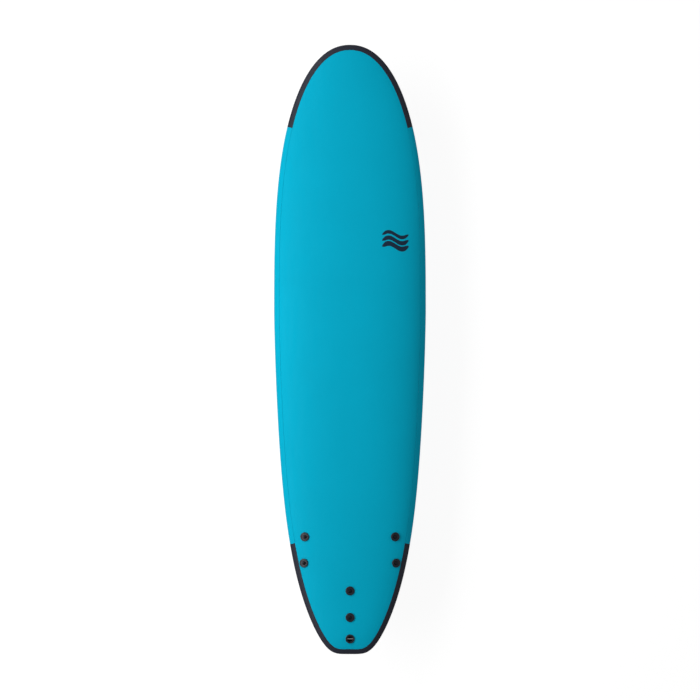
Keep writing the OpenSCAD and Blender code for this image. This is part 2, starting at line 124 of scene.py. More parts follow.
def crown_t(x):
    s = np.minimum(1, np.abs(x) / HALF_L)
    tip = np.where(x > 0, NOSE_T, TAIL_T)
    return tip + (BOARD_T - tip) * (1 - s ** CROWN_ROUND) ** CROWN_POWER


def apex_t(x):
    return crown_t(x) * (APEX_SHARE + APEX_RISE * (np.abs(x) / HALF_L) ** 3)


def deck_t(x, w):
    fall = crown_t(x) - apex_t(x)
    return crown_t(x) - fall * (1 - np.maximum(0, 1 - w ** DECK_ROUND) ** DECK_POWER)


def edge_w(x):
    s = np.minimum(1, np.abs(x) / HALF_L)
    return EDGE_LEAST + EDGE_MORE * np.where(x > 0, 1 - s ** NOSE_EDGE_ROUND, (1 - s * s) ** TAIL_EDGE_POWER)


def on_ray(edge, w):
    """Points at share w of the rays that run from the spine to the outline."""
    x, y = edge
    return x * (SPINE_SHARE + (1 - SPINE_SHARE) * w), y * w


def ray_length(edge):
    return np.hypot((1 - SPINE_SHARE) * edge[0], edge[1])


def deck_z(x, y):
    """Height of the deck above any point."""
    end = x
    for _ in range(8):
        w = min(1, abs(y) / max(MM, half_width(end)))
        end = x / (SPINE_SHARE + (1 - SPINE_SHARE) * w)
    return float(bottom_z(x) + deck_t(x, w))


# ---- Mesh helpers ----------------------------------------------------------------------------

SHARP = math.radians(32)
WELD = 1e-6


def finish_mesh(name, bm):
    bmesh.ops.remove_doubles(bm, verts=bm.verts, dist=WELD)
    bmesh.ops.recalc_face_normals(bm, faces=bm.faces)
    mesh = bpy.data.meshes.new(name)
    bm.to_mesh(mesh)
    bm.free()
    mesh.polygons.foreach_set("use_smooth", [True] * len(mesh.polygons))
    mesh.set_sharp_from_angle(angle=SHARP)
    piece = bpy.data.objects.new(name, mesh)
    bpy.context.scene.collection.objects.link(piece)
    return piece


def loft(name, rings, caps=True, strip_caps=False):
    """A closed solid through rings of points, each (n, 3). Caps close its ends, as fans or as strips."""
    bm = bmesh.new()
    rows = [[bm.verts.new(p) for p in ring] for ring in rings]
    n = len(rows[0])
    for row, after in zip(rows, rows[1:]):
        for k in range(n):
            j = (k + 1) % n
            bm.faces.new((row[k], row[j], after[j], after[k]))
    for row in (rows[0], rows[-1]) if caps else ():
        if strip_caps:
            for k in range(n // 2 - 1):
                bm.faces.new((row[k], row[k + 1], row[n - 2 - k], row[n - 1 - k]))
        else:
            bm.faces.new(row)
    return finish_mesh(name, bm)


def lathe(name, profile, steps=96):
    """A solid turned about Z from (radius, height) points that start and end on the axis."""
    turns = np.linspace(0, FULL_TURN, steps, endpoint=False)
    rings = [np.c_[r * np.cos(turns), r * np.sin(turns), np.full(steps, z)] for r, z in profile]
    return loft(name, rings, caps=False)


def cylinder(x, y, low, high, radius, steps=64):
    made = lathe("tool", [(0, low), (radius, low), (radius, high), (0, high)], steps)
    made.data.transform(Matrix.Translation((x, y, 0)))
    return made


def combine(piece, others, operation):
    """Joins other solids to a piece, or cuts them out of it, and removes them."""
    for other in others:
        step = piece.modifiers.new("step", "BOOLEAN")
        step.object, step.operation, step.solver = other, operation, "MANIFOLD"
    bpy.context.view_layer.update()
    evaluated = piece.evaluated_get(bpy.context.evaluated_depsgraph_get())
    mesh = bpy.data.meshes.new_from_object(evaluated)
    piece.modifiers.clear()
    piece.data = mesh
    for other in others:
        bpy.data.objects.remove(other)
    mesh.polygons.foreach_set("use_smooth", [True] * len(mesh.polygons))
    mesh.set_sharp_from_angle(angle=SHARP)
    return piece


def settle(piece, body, slot, material, *nodes):
    """Gives a piece its material and its body, and hides the CAD nodes that it stands for. The slot argument
    is not used.
    """
    piece.data.materials.clear()
    piece.data.materials.append(material)
    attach(piece, body)
    if nodes:
        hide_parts(*nodes)
    return piece


# ---- Materials -------------------------------------------------------------------------------

def linear(red, green, blue):
    """A colour from 0-255 display values."""
    shown = (red, green, blue)
    return tuple(((v / 255 + 0.055) / 1.055) ** 2.4 if v > 10 else v / 3295 for v in shown) + (1,)


def scaled(colour, factor):
    return tuple(min(1, c * factor) for c in colour[:3]) + (1,)


class Surface:
    """A Principled material whose nodes read the model's own coordinates, in metres."""

    def __init__(self, name, **values):
        self.material = bpy.data.materials.new(name)
        self.material.use_nodes = True
        self.tree = self.material.node_tree
        self.shader = self.tree.nodes["Principled BSDF"]
        self.place = self.node("TexCoord").outputs["Object"]
        for key, value in values.items():
            self.shader.inputs[key.replace("_", " ")].default_value = value

    def node(self, kind, inputs=(), **settings):
        made = self.tree.nodes.new("ShaderNode" + kind)
        for key, value in settings.items():
            setattr(made, key, value)
        for key, value in dict(inputs).items():
            if isinstance(value, bpy.types.NodeSocket):
                self.tree.links.new(value, made.inputs[key])
            else:
                made.inputs[key].default_value = value
        return made

    def stretched(self, scale):
        return self.node("Mapping", {"Vector": self.place, "Scale": scale}).outputs["Vector"]

    def noise(self, scale, detail=3, where=None):
        inputs = {"Vector": where or self.place, "Scale": scale, "Detail": detail}
        return self.node("TexNoise", inputs).outputs["Fac"]

    def cells(self, scale, feature="F1"):
        inputs = {"Vector": self.place, "Scale": scale}
        return self.node("TexVoronoi", inputs, feature=feature).outputs["Distance"]

    def range(self, value, from_low, from_high, low, high):
        inputs = {"Value": value, "From Min": from_low, "From Max": from_high, "To Min": low, "To Max": high}
        return self.node("MapRange", inputs).outputs["Result"]

    def mix(self, factor, first, second):
        made = self.node("Mix", {0: factor, 6: first, 7: second}, data_type="RGBA")
        return made.outputs[2]

    def colour(self, socket):
        self.tree.links.new(socket, self.shader.inputs["Base Color"])

    def roughness(self, value, low, high):
        self.tree.links.new(self.range(value, 0.3, 0.7, low, high), self.shader.inputs["Roughness"])

    def bump(self, *layers):
        """Stacks bumps, each a height socket with its depth in metres."""
        normal = None
        for height, depth in layers:
            made = self.node("Bump", {"Height": height, "Strength": 0.6, "Distance": depth})
            if normal is not None:
                self.tree.links.new(normal, made.inputs["Normal"])
            normal = made.outputs["Normal"]
        self.tree.links.new(normal, self.shader.inputs["Normal"])


TEAL = linear(0, 172, 204)
CHARCOAL = linear(37, 40, 52)
NYLON = linear(21, 23, 33)
MOULDED = linear(15, 19, 32)
SLICK = linear(226, 226, 238)
INK_DARK = linear(14, 40, 62)
INK_TEAL = linear(10, 178, 190)
INK_PALE = linear(170, 205, 212)
INK_GREY = linear(120, 124, 134)


def foam(name, colour):
    """Closed-cell foam skin: pin-prick cells, faint mottling and a slight lengthwise draw."""
    made = Surface(name, Specular_IOR_Level=0.06)
    mottle = made.noise(5, 4)
    drawn = made.noise(55, 3, made.stretched((0.12, 1, 1)))
    tint = made.mix(mottle, scaled(colour, 0.93), scaled(colour, 1.07))
    speck = made.range(made.cells(620), 0.05, 0.5, 0, 1)
    shade = made.mix(speck, scaled(colour, 0.86), scaled(colour, 1.03))
    made.colour(made.mix(0.4, tint, shade))
    made.roughness(drawn, 0.64, 0.78)
    made.bump((made.cells(620), 0.25 * MM), (drawn, 0.12 * MM), (made.noise(1800, 2), 0.06 * MM))
    return made.material


def rubber(name, colour):
    """Matt bumper rubber with a fine grain and scuffs that show paler."""
    made = Surface(name, Specular_IOR_Level=0.25)
    grain = made.noise(900, 4)
    scuff = made.range(made.noise(38, 6, made.stretched((0.5, 1, 1))), 0.6, 0.78, 0, 0.35)
    grained = made.mix(grain, scaled(colour, 0.85), scaled(colour, 1.15))
    made.colour(made.mix(scuff, grained, scaled(colour, 1.9)))
    made.roughness(made.noise(30, 5), 0.5, 0.66)
    made.bump((grain, 0.2 * MM), (made.cells(450), 0.12 * MM))
    return made.material


def slick_plastic(name, colour):
    """Satin polyethylene sheet with long faint draw lines and a little waviness."""
    made = Surface(name, Specular_IOR_Level=0.4)
    lines = made.noise(160, 4, made.stretched((0.02, 1, 1)))
    wave = made.noise(7, 2)
    made.colour(made.mix(wave, scaled(colour, 0.965), scaled(colour, 1.02)))
    made.roughness(lines, 0.3, 0.42)
    made.bump((wave, 0.6 * MM), (lines, 0.03 * MM), (made.noise(1500, 2), 0.015 * MM))
    return made.material


def moulded(name, colour, rough_low, rough_high, grain_depth):
    """Injection-moulded plastic: a spark-eroded grain, soft flow marks and rubbed patches."""
    made = Surface(name, Specular_IOR_Level=0.5)
    grain = made.noise(1400, 3)
    flow = made.noise(26, 3)
    made.colour(made.mix(flow, scaled(colour, 0.85), scaled(colour, 1.2)))
    made.roughness(made.noise(45, 5), rough_low, rough_high)
    made.bump((flow, 0.25 * MM), (grain, grain_depth))
    return made.material


def metal(name, colour, low, high):
    """Turned metal with fine tool marks."""
    made = Surface(name, Metallic=1.0)
    marks = made.noise(2600, 2, made.stretched((0.15, 0.15, 1)))
    made.colour(made.mix(marks, scaled(colour, 0.86), scaled(colour, 1.05)))
    made.roughness(made.noise(300, 3), low, high)
    made.bump((marks, 0.02 * MM))
    return made.material


def bead_foam(name):
    """Expanded polystyrene: pressed beads with dark joints between them."""
    made = Surface(name, Specular_IOR_Level=0.3, Roughness=0.6)
    beads = made.cells(260, "DISTANCE_TO_EDGE")
    joint = made.range(beads, 0.0, 0.08, 0, 1)
    made.colour(made.mix(joint, linear(196, 197, 193), linear(240, 240, 236)))
    made.bump((joint, 0.3 * MM))
    return made.material


def plywood(name):
    """Plies in level layers, with the grain running along the board."""
    made = Surface(name, Roughness=0.62, Specular_IOR_Level=0.3)
    height = made.node("SeparateXYZ", {"Vector": made.place}).outputs["Z"]
    ply = made.node("Math", {0: height, 1: 1 / (1.3 * MM)}, operation="MULTIPLY").outputs[0]
    ply = made.node("Math", {0: ply, 1: 2.0}, operation="PINGPONG").outputs[0]
    grain = made.noise(90, 5, made.stretched((0.05, 1, 1)))
    light = made.mix(grain, linear(203, 166, 118), linear(226, 195, 150))
    made.colour(made.mix(made.range(ply, 0.7, 1.3, 0, 1), light, linear(160, 118, 76)))
    made.bump((grain, 0.1 * MM))
    return made.material


def ink(name, colour, roughness):
    """Printed ink, a little uneven where it sits on the surface below."""
    made = Surface(name, Specular_IOR_Level=0.25)
    patch = made.noise(420, 3)
    made.colour(made.mix(patch, scaled(colour, 0.9), scaled(colour, 1.12)))
    made.roughness(made.noise(60, 3), roughness - 0.05, roughness + 0.1)
    made.bump((made.cells(620), 0.12 * MM))
    return made.material


# ---- Deck sheet and bottom sheet ----------------------------------------------------------------

STATIONS = 720
RIM_STEPS = 26


def sheet_rings(height, thickness, edge_in):
    """Rings of a sheet that covers the board, from its spine out and back: outer face, rim, inner face."""
    edge = outline(np.linspace(0, FULL_TURN, STATIONS, endpoint=False))
    reach = 1 - edge_in(edge[0]) / ray_length(edge)
    away = -1 if height is deck_height else 1

    def ring(share, inset, depth):
        w = np.maximum(0, share * reach - inset / ray_length(edge))
        x, y = on_ray(edge, w)
        return np.c_[x, y, height(x, w) + away * depth]

    shares = np.sin(np.linspace(0, math.pi / 2, RIM_STEPS))
    rings = [ring(s, SEAM if s == 1 else 0, 0) for s in shares]
    rings += [ring(1, 0.3 * SEAM, 0.3 * SEAM), ring(1, 0, SEAM), ring(1, 0, thickness)]
    return rings + [ring(s, 0, thickness) for s in (0.75, 0.5, 0.25, 0)]


def deck_height(x, w):
    return bottom_z(x) + deck_t(x, w)


def bottom_height(x, w):
    return bottom_z(x)


# ---- Rail band -------------------------------------------------------------------------------

BAND_STEPS = 14


def band_section():
    """The band's section as (place, depth): place is -1 at the deck seam, 0 where widest, 1 at the bottom."""
    chamfer = SEAM / BAND_W / BAND_ROUND
    upper = np.linspace(-1 + chamfer, 0, BAND_STEPS)
    lower = np.linspace(0, 0.97, BAND_STEPS)[1:]
    outer = [(-1, SEAM)] + [(p, 0) for p in upper] + [(p, 0) for p in lower] + [(1, 0.7 * SEAM)]
    return outer + [(p, SKIN_T) for p in np.linspace(1, -1, len(outer))]


def band_ring(angle, extra):
    """One closed section of the band at an outline angle, its outer side sunk by extra."""
    edge = outline(np.array([angle]))
    points = []
    for place, depth in band_section():
        turn = place * math.pi / 2
        depth = max(depth, extra)
        if place <= 0:
            out_t = BAND_W * (-place) ** BAND_ROUND
        else:
            out_t = edge_w(edge[0]) * (1 - math.cos(turn))
        x, w = on_ray(edge, 1 - out_t / ray_length(edge))[0], 1 - out_t / ray_length(edge)
        z = deck_height(x, w) if place <= 0 else bottom_z(x) + apex_t(x) * (1 - math.sin(turn))
        w = 1 - (out_t + depth * math.cos(turn)) / ray_length(edge)
        x, y = on_ray(edge, w)
        points.append((float(x[0]), float(y[0]), float(z[0]) + depth * math.sin(turn)))
    return points


def band(name, first, last, steps):
    """A strip of the rail band between two outline angles, its ends slightly rounded."""
    nick = 0.4 * SEAM / HALF_L
    angles = np.linspace(first, last, steps)
    rings = [band_ring(first + nick, SEAM), band_ring(first + 3 * nick, 0)]
    rings += [band_ring(a, 0) for a in angles[1:-1]]
    rings += [band_ring(last - 3 * nick, 0), band_ring(last - nick, SEAM)]
    return loft(name, rings, strip_caps=True)


# ---- Holes, discs and screws -----------------------------------------------------------------

TUBE_R, TUBE_BORE_R, TUBE_PLAY = 8 * MM, 6 * MM, 0.4 * MM
SEAT_RISE = 0.6 * MM
# Narrower than the CAD's 9.5 mm recess, which the edge of the tilted deck foam stands up into.
RECESS_R = 7.6 * MM
WEB_T = 3 * MM
SHANK_R = 3 * MM
HEAD_T = 3.2 * MM
TILT_REACH = 15 * MM
CUP_R, CUP_WALL = 11.5 * MM, 2 * MM


def middle(node):
    low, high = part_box(node)
    return (low + high) / 2


bolts = {(f, e): middle(f"fin_screw_{f}_{e}") for f in FINS for e in ENDS}
leash = middle("leash_cup")
leash_z = deck_z(leash.x, 0)


def deck_frame(x, y):
    """A frame that stands on the deck at a point and leans with it."""
    tilt_x = math.atan((deck_z(x + TILT_REACH, y) - deck_z(x - TILT_REACH, y)) / (2 * TILT_REACH))
    tilt_y = math.atan((deck_z(x, y + TILT_REACH) - deck_z(x, y - TILT_REACH)) / (2 * TILT_REACH))
    lean = Matrix.Rotation(-tilt_x, 4, "Y") @ Matrix.Rotation(tilt_y, 4, "X")
    return Matrix.Translation((x, y, deck_z(x, y))) @ lean


def tube_holes(low, high):
    return [cylinder(b.x, b.y, low, high, TUBE_R + TUBE_PLAY, 48) for b in bolts.values()]


def fin_plug(fin, end):
    """Deck disc with a rolled rim, a shallow ring groove and a dished recess, and the tube below it."""
    bolt = bolts[fin, end]
    top = deck_z(bolt.x, bolt.y)
    seat = top + SEAT_RISE
    floor_z = float(bottom_z(bolt.x))
    rim = [(0, 0.15), (17.4, 0.15), (17.85, 0.5), (18.0, 1.1), (18.0, 2.6), (17.8, 3.5), (17.3, 4.3),
           (16.5, 4.9), (15.5, 5.15), (14.4, 5.2), (14.0, 5.1), (13.7, 4.7), (13.3, 4.6), (12.9, 4.7),
           (12.6, 5.1), (12.2, 5.2), (11.2, 5.2), (0, 5.2)]
    piece = lathe(f"deck_disc_{fin}_{end}", [(r * MM, z * MM) for r, z in rim], 128)
    piece.data.transform(deck_frame(bolt.x, bolt.y))
    tube_low = floor_z + 1.2 * MM
    combine(piece, [cylinder(bolt.x, bolt.y, tube_low, top + 2 * MM, TUBE_R)], "UNION")
    dish = lathe("tool", [(0, seat), (RECESS_R - 0.6 * MM, seat), (RECESS_R, seat + 0.6 * MM),
                          (RECESS_R, top + 3.4 * MM), (RECESS_R + 1.6 * MM, top + 12 * MM),
                          (0, top + 12 * MM)])
    dish.data.transform(Matrix.Translation((bolt.x, bolt.y, 0)))
    hole = cylinder(bolt.x, bolt.y, seat - 2 * WEB_T, seat + MM, SHANK_R + 0.4 * MM)
    bore = cylinder(bolt.x, bolt.y, floor_z - 10 * MM, seat - WEB_T, TUBE_BORE_R)
    return combine(piece, [dish, hole, bore], "DIFFERENCE")


THREAD_PITCH = 1.0 * MM
THREAD_LEN = 22 * MM
THREAD_DEPTH = 0.5 * MM
RINGS_PER_TURN, RING_STEPS = 8, 32


def fin_screw(fin, end):
    """Pan-head machine screw: domed head with a cross recess, plain shank, and a rolled thread."""
    bolt = bolts[fin, end]
    low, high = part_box(f"fin_screw_{fin}_{end}")
    seat = high.z - HEAD_T
    tip = low.z
    head = [(0, 0.05), (6.2, 0.05), (6.5, 0.35), (6.5, 1.6), (6.3, 2.1), (5.7, 2.6), (4.6, 3.0), (3.2, 3.16),
            (0, 3.2)]
    piece = lathe(f"screw_{fin}_{end}", [(r * MM, z * MM) for r, z in head], 96)
    piece.data.transform(Matrix.Translation((bolt.x, bolt.y, seat)))
    turns = np.linspace(0, FULL_TURN, RING_STEPS, endpoint=False)
    rings = []
    for z in np.arange(0, THREAD_LEN + WELD, THREAD_PITCH / RINGS_PER_TURN):
        wave = np.abs(((z / THREAD_PITCH - turns / FULL_TURN) % 1) * 2 - 1)
        fade = min(1, z / (1.5 * THREAD_PITCH), (THREAD_LEN - z) / THREAD_PITCH)
        radius = SHANK_R - THREAD_DEPTH * (1 - wave) * max(0, fade) - 0.5 * MM * max(0, 1 - z / MM)
        rings.append(np.c_[radius * np.cos(turns), radius * np.sin(turns), np.full(RING_STEPS, tip + z)])
    rings.append(np.c_[SHANK_R * np.cos(turns), SHANK_R * np.sin(turns), np.full(RING_STEPS, seat + MM)])
    shank = loft("tool", rings)
    shank.data.transform(Matrix.Translation((bolt.x, bolt.y, 0)))
    combine(piece, [shank], "UNION")
    cross = []
    corners = ((-1, -1), (1, -1), (1, 1), (-1, 1))
    slot_levels = ((1.1, 0.45, 1.2), (3.2, 0.72, 3.3))
    for turn in (0, math.pi / 2):
        slot = loft("tool", [[(sx * l * MM, sy * w * MM, z * MM) for sx, sy in corners]
                             for l, w, z in slot_levels])
        slot.data.transform(Matrix.Translation((bolt.x, bolt.y, seat)) @ Matrix.Rotation(turn, 4, "Z"))
        cross.append(slot)
    return combine(piece, cross, "DIFFERENCE")


def leash_cup():
    """Leash plug: a rimmed disc round a deep cup, drilled across for the bar."""
    profile = [(0, -26), (13.5, -26), (13.5, 0.2), (17.5, 0.2), (18.0, 0.6), (18.0, 1.2), (17.7, 1.8),
               (16.9, 2.25), (15.8, 2.4), (15.2, 2.3), (14.9, 2.0), (14.4, 2.0), (14.1, 2.3), (13.6, 2.4),
               (12.6, 2.4), (11.9, 2.1), (11.5, 1.4), (11.5, -23.2), (11.2, -23.8), (10.5, -24), (0, -24)]
    piece = lathe("leash_cup_moulding", [(r * MM, z * MM) for r, z in profile], 128)
    piece.data.transform(Matrix.Translation((leash.x, 0, leash_z)))
    bar = middle("leash_bar")
    drill = cylinder(0, 0, -16 * MM, 16 * MM, 2.55 * MM, 48)
    drill.data.transform(Matrix.Translation(bar) @ Matrix.Rotation(math.pi / 2, 4, "X"))
    return combine(piece, [drill], "DIFFERENCE")


# ---- Hand grip -------------------------------------------------------------------------------

GRIP_HALF_L, GRIP_HALF_W = 60, 25
POCKET_HALF_L, POCKET_HALF_W = 53, 18
GRIP_DEPTH, GRIP_WALL = 28, 2
CORNER_STEPS = 8


def round_ring(half_l, half_w, radius, z):
    """A rounded rectangle in millimetres, as points in metres."""
    points = []
    for quarter, (sx, sy) in enumerate(((1, 1), (-1, 1), (-1, -1), (1, -1))):
        for i in range(CORNER_STEPS + 1):
            a = math.pi / 2 * (quarter + i / CORNER_STEPS)
            points.append(((sx * (half_l - radius) + radius * math.cos(a)) * MM,
                           (sy * (half_w - radius) + radius * math.sin(a)) * MM, z * MM))
    return points


def grip_cup():
    """Recessed hand grip: rounded flange with a raised inner lip, and a pocket with drafted walls."""
    shell, shell_top = (POCKET_HALF_L + GRIP_WALL, POCKET_HALF_W + GRIP_WALL), GRIP_DEPTH + GRIP_WALL
    flange, pocket = (GRIP_HALF_L, GRIP_HALF_W), (POCKET_HALF_L, POCKET_HALF_W)
    rings = [
        (shell, -2, 3.0, shell_top), (shell, 0, 5.0, shell_top - 2), (shell, 0, 5.0, -0.3),
        (flange, -0.2, 3.8, -0.3), (flange, 0, 4.0, -0.55), (flange, 0, 4.0, -0.95),
        (flange, -0.5, 3.6, -1.45), (flange, -1.4, 3.0, -1.7),
        (pocket, 2.6, 3.8, -1.75), (pocket, 2.2, 3.6, -1.9), (pocket, 1.0, 3.2, -1.9),
        (pocket, 0.3, 3.0, -1.4), (pocket, 0, 3.0, -0.4), (pocket, 0, 3.0, GRIP_DEPTH - 4),
        (pocket, -0.6, 2.8, GRIP_DEPTH - 2), (pocket, -1.8, 2.4, GRIP_DEPTH - 0.5),
        (pocket, -3.2, 2.0, GRIP_DEPTH),
    ]
    piece = loft("hand_grip", [round_ring(l + out, w + out, radius, z) for (l, w), out, radius, z in rings])
    centre = middle("grip_cup")
    piece.data.transform(Matrix.Translation((centre.x, centre.y, BELLY_Z)))
    return piece


def grip_hole():
    """The opening that the grip's shell passes through."""
    centre = middle("grip_cup")
    half_l = POCKET_HALF_L + GRIP_WALL + 0.4
    half_w = POCKET_HALF_W + GRIP_WALL + 0.4
    tool = loft("tool", [round_ring(half_l, half_w, 5, z) for z in (-30, 40)])
    tool.data.transform(Matrix.Translation((centre.x, centre.y, BELLY_Z)))
    return tool


# ---- Fins ------------------------------------------------------------------------------------

FIN_DEPTH = 120
FOOT_L, FOOT_W, FOOT_T = 156, 42, 6.5
FOOT_AHEAD, BLADE_AHEAD = 38, 4
FOOT_WIDE = 88
FOOT_MIDDLE, FOOT_STEPS = 0.52, 128
BOLT_PITCH = 105.6
BLADE_REACH, ROOT_BACK, TIP_R, TIP_U = 130, 110, 15.8, 148.5
TIP_V = FIN_DEPTH - TIP_R - 0.3
HOOK_TURN = math.radians(30)
HOOK_V, HOOK_END = 30, TIP_V - TIP_R * math.cos(HOOK_TURN)
HOOK_BACK = TIP_U + TIP_R * math.sin(HOOK_TURN)
HOOK_SHARE, HOOK_POWER = 0.8, 0.6
POST_R, POST_H, POST_ROOT, POST_CHAMFER = 5.75, 40, 3, 0.6
INSERT_R, INSERT_L = 4.5, 18
HOLLOW_R, HOLLOW_DROP = 3.5, 10
ROOT_FLARE, FLARE_V = 5.5, 15
TIP_CLOSE = 2.2
CHORD_STEPS = 26
ROOT_LEVEL, ROOT_STEPS, BLADE_STEPS = 14, 12, 46
DOME_STEPS, FIRST_TURN = 22, 0.04


def lead_u(v):
    return BLADE_REACH * (1 - max(0, 1 - (v / FIN_DEPTH) ** 1.38) ** 0.625)


def hook_left(t):
    """Share of the hook's reach that is left at share t of its curve."""
    return (1 - t * t) ** HOOK_POWER


def trail_u(v):
    if v < HOOK_V:
        return ROOT_BACK + 4.8 * (1 - v / HOOK_V) ** 2
    if v < HOOK_END:
        way = 1 - hook_left(HOOK_SHARE * (v - HOOK_V) / (HOOK_END - HOOK_V))
        return ROOT_BACK + (HOOK_BACK - ROOT_BACK) * way / (1 - hook_left(HOOK_SHARE))
    return TIP_U + math.sqrt(max(0, TIP_R * TIP_R - (v - TIP_V) ** 2))


def foil(s):
    return 2.3 * math.sqrt(s) * (1 - s) * (1 - 0.25 * s) + 0.10 * math.sqrt(max(0, 1 - (2 * s - 1) ** 2))


def blade_ring(v):
    """One level section of the blade, with its root flared into the foot and its tip closed round."""
    front, back = lead_u(v), trail_u(v)
    thin = min(1, math.sqrt((back - front) / 30))
    half = (9 - 4 * v / FIN_DEPTH) / 2 * thin
    closing = max(0, v - FIN_DEPTH + TIP_CLOSE) / TIP_CLOSE
    half *= math.sqrt(max(0.02, 1 - closing ** 2))
    flare = ROOT_FLARE * max(0, 1 - v / FLARE_V) ** 2.4
    shares = [(1 - math.cos(math.pi * i / CHORD_STEPS)) / 2 for i in range(CHORD_STEPS + 1)]
    across = [half * foil(s) + flare * math.sin(math.pi * s) ** 0.5 for s in shares]
    along = [BLADE_AHEAD - front - (back - front) * s for s in shares]
    points = [(u, a, -v) for u, a in zip(along, across)]
    points += [(u, -a, -v) for u, a in list(zip(along, across))[-2:0:-1]]
    return [tuple(c * MM for c in p) for p in points]


def foot_half(u):
    if u < FOOT_WIDE:
        return FOOT_W / 2 * max(0, 1 - ((FOOT_WIDE - u) / FOOT_WIDE) ** 2.2) ** 0.5
    return FOOT_W / 2 * max(0, 1 - ((u - FOOT_WIDE) / (FOOT_L - FOOT_WIDE)) ** 2.6) ** 0.5


def foot_ring(share, height):
    points = []
    middle_u = FOOT_L * FOOT_MIDDLE
    for i in range(FOOT_STEPS):
        a = FULL_TURN * (i + 0.5) / FOOT_STEPS
        u = FOOT_L * (1 - math.cos(a)) / 2
        side = 1 if math.sin(a) >= 0 else -1
        points.append(((FOOT_AHEAD - middle_u - (u - middle_u) * share) * MM,
                       side * foot_half(u) * share * MM, -FOOT_T * height * MM))
    return points


def fin_frame(fin):
    """Where a fin's own frame stands: its front bolt, turned with the bolts and tilted with the bottom."""
    front, rear = bolts[fin, "front"], bolts[fin, "rear"]
    mid_x = front.x - BOLT_PITCH / 2 * MM
    turn = math.atan2(front.y - rear.y, front.x - rear.x)
    step = 5 * MM
    tilt = math.atan(float(lift(mid_x - step) - lift(mid_x + step)) / (2 * step))
    mid_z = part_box(f"fin_insert_{fin}_front")[1].z - POST_H * MM
    half = BOLT_PITCH / 2 * MM
    place = Matrix.Translation((front.x, front.y, 0)) @ Matrix.Rotation(turn, 4, "Z")
    place = place @ Matrix.Translation((-half, 0, mid_z)) @ Matrix.Rotation(tilt, 4, "Y")
    return place @ Matrix.Translation((half, 0, 0)), mid_z, tilt


def fin(name):
    """One moulding: a crowned oval foot, a raked foiled blade, and two hollow posts."""
    place, mid_z, tilt = fin_frame(name)
    climb = np.sin(np.linspace(FIRST_TURN, math.pi / 2, BLADE_STEPS))
    low_levels = np.linspace(0, ROOT_LEVEL, ROOT_STEPS)
    levels = np.concatenate([low_levels, ROOT_LEVEL + (FIN_DEPTH - ROOT_LEVEL) * climb])
    piece = loft(f"fin_blade_{name}", [blade_ring(v) for v in levels])
    shares = np.sin(np.linspace(math.pi / 2, FIRST_TURN, DOME_STEPS))
    dome = [(s, 0.34 + 0.66 * (1 - s ** 3) ** 0.66) for s in shares]
    foot = loft("tool", [foot_ring(*r) for r in [(0.985, 0), (1, 0.1)] + dome])
    combine(piece, [foot], "UNION")
    piece.data.transform(place)
    posts, bores = [], []
    for end, side in zip(ENDS, (-1, 1)):
        bolt = bolts[name, end]
        root = mid_z + (side * BOLT_PITCH / 2 * math.tan(tilt) - POST_ROOT) * MM
        top = mid_z + POST_H * MM
        post = lathe("tool", [(0, root), (POST_R * MM, root), (POST_R * MM, top - POST_CHAMFER * MM),
                              ((POST_R - POST_CHAMFER) * MM, top), (0, top)], 64)
        post.data.transform(Matrix.Translation((bolt.x, bolt.y, 0)))
        posts.append(post)
        bores.append(cylinder(bolt.x, bolt.y, top - INSERT_L * MM, top + MM, INSERT_R * MM))
        bores.append(cylinder(bolt.x, bolt.y, top - (INSERT_L + HOLLOW_DROP) * MM, top - HOLLOW_DROP * MM,
                              HOLLOW_R * MM))
    combine(piece, posts, "UNION")
    return combine(piece, bores, "DIFFERENCE")


# ---- Printed marks -----------------------------------------------------------------------------

INK_T = 0.12 * MM
INK_LIFT = 0.06 * MM
BAR_SHARE, BAR_THINNING, BAR_START = 0.86, 0.12, 0.42
SWELL_BEND = 0.16


def patch(name, corner, steps_u, steps_v, height, up):
    """A thin printed patch on the deck (up = 1) or the bottom (up = -1). corner(u, v) gives its place."""
    bm = bmesh.new()
    layers = []
    for lift_by in (INK_LIFT, INK_LIFT + INK_T):
        rows = []
        for i in range(steps_u + 1):
            row = []
            for j in range(steps_v + 1):
                x, y = corner(i / steps_u, j / steps_v)
                row.append(bm.verts.new((x, y, height(x, y) + up * lift_by)))
            rows.append(row)
        layers.append(rows)
    for rows in layers:
        for i in range(steps_u):
            for j in range(steps_v):
                bm.faces.new((rows[i][j], rows[i + 1][j], rows[i + 1][j + 1], rows[i][j + 1]))
    low, high = layers
    rim = [(i, 0) for i in range(steps_u)] + [(steps_u, j) for j in range(steps_v)]
    rim += [(i, steps_v) for i in range(steps_u, 0, -1)] + [(0, j) for j in range(steps_v, 0, -1)]
    for (i, j), (p, q) in zip(rim, rim[1:] + rim[:1]):
        bm.faces.new((low[i][j], low[p][q], high[p][q], high[i][j]))
    return finish_mesh(name, bm)


def join(name, pieces):
    """Several solids as one piece."""
    bm = bmesh.new()
    for piece in pieces:
        bm.from_mesh(piece.data)
        bpy.data.objects.remove(piece)
    return finish_mesh(name, bm)


def swell(mid_x, mid_y, length, width, count, height, up, name):
    """A generic mark: level bars bent into one swell, each thinner than the one below."""
    pitch = length / count
    bars = []
    for k in range(count):
        thick = pitch * (BAR_SHARE - BAR_THINNING * k)
        base = mid_x - length / 2 + pitch * (k + BAR_START)

        def corner(u, v, base=base, thick=thick):
            bend = SWELL_BEND * length * math.sin(FULL_TURN * u)
            narrow = min(1, 8 * u, 8 * (1 - u)) ** 0.5
            return base + bend + (v - 0.5) * thick * narrow, mid_y + (0.5 - u) * width

        bars.append(patch("bar", corner, 48, 4, height, up))
    return join(name, bars)


def bar(x0, x1, y0, y1, height, up):
    return patch("bar", lambda u, v: (x0 + (x1 - x0) * u, y0 + (y1 - y0) * v), 8, 2, height, up)


def bottom_at(x, y):
    return float(bottom_z(x))


